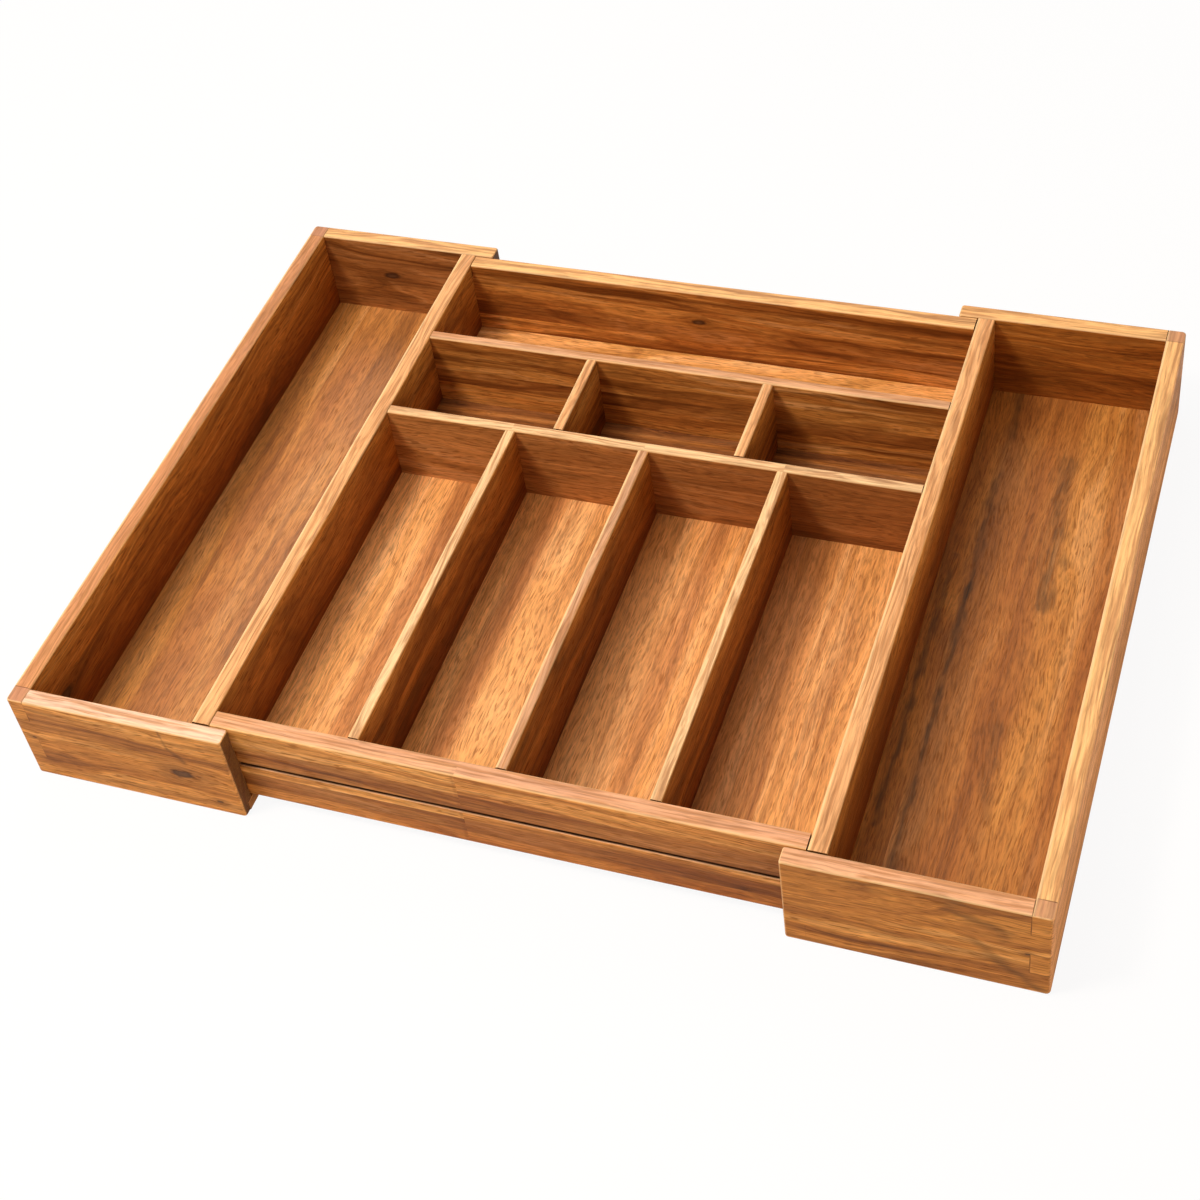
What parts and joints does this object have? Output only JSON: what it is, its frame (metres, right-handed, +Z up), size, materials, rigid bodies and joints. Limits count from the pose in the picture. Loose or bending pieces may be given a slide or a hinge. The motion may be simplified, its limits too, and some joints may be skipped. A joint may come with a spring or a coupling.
{
  "type": "cutlery tray",
  "caption": "Wooden cutlery tray for a drawer, with a fixed centre of divided compartments and a tray on each side that slides out to widen it.",
  "frame": {"origin": "centre of the footprint on the surface the tray stands on, with both side trays pulled out", "axes": "+X to the right along the slide, +Y to the back, +Z up"},
  "size_m": [0.58, 0.43, 0.065],
  "materials": {
    "oiled_board": "oiled acacia, glued up from strips",
    "floor_panel": "oiled acacia, edge-glued staves",
    "divider_board": "oiled acacia, planed thin",
    "guide_slip": "bare hardwood"
  },
  "bodies": {
    "centre_tray": {"centre_left_wall": "oiled_board", "centre_right_wall": "oiled_board", "centre_front_wall": "oiled_board", "centre_back_wall": "oiled_board", "front_cross_divider": "divider_board", "rear_cross_divider": "divider_board", "long_divider_1": "divider_board", "long_divider_2": "divider_board", "long_divider_3": "divider_board", "short_divider_1": "divider_board", "short_divider_2": "divider_board", "cutlery_floor_panel": "floor_panel", "rear_floor_panel": "floor_panel"},
    "left_tray": {"left_side_board": "oiled_board", "left_floor_panel": "floor_panel", "left_front_rail": "oiled_board", "left_front_guide": "guide_slip", "left_back_rail": "oiled_board", "left_back_guide": "guide_slip"},
    "right_tray": {"right_side_board": "oiled_board", "right_floor_panel": "floor_panel", "right_front_rail": "oiled_board", "right_front_guide": "guide_slip", "right_back_rail": "oiled_board", "right_back_guide": "guide_slip"}
  },
  "joints": [
    {"name": "left_slide", "type": "slide", "parent": "centre_tray", "child": "left_tray", "axis": [1, 0, 0], "range_m": [0, 0.101]},
    {"name": "right_slide", "type": "slide", "parent": "centre_tray", "child": "right_tray", "axis": [-1, 0, 0], "range_m": [0, 0.101]}
  ]
}
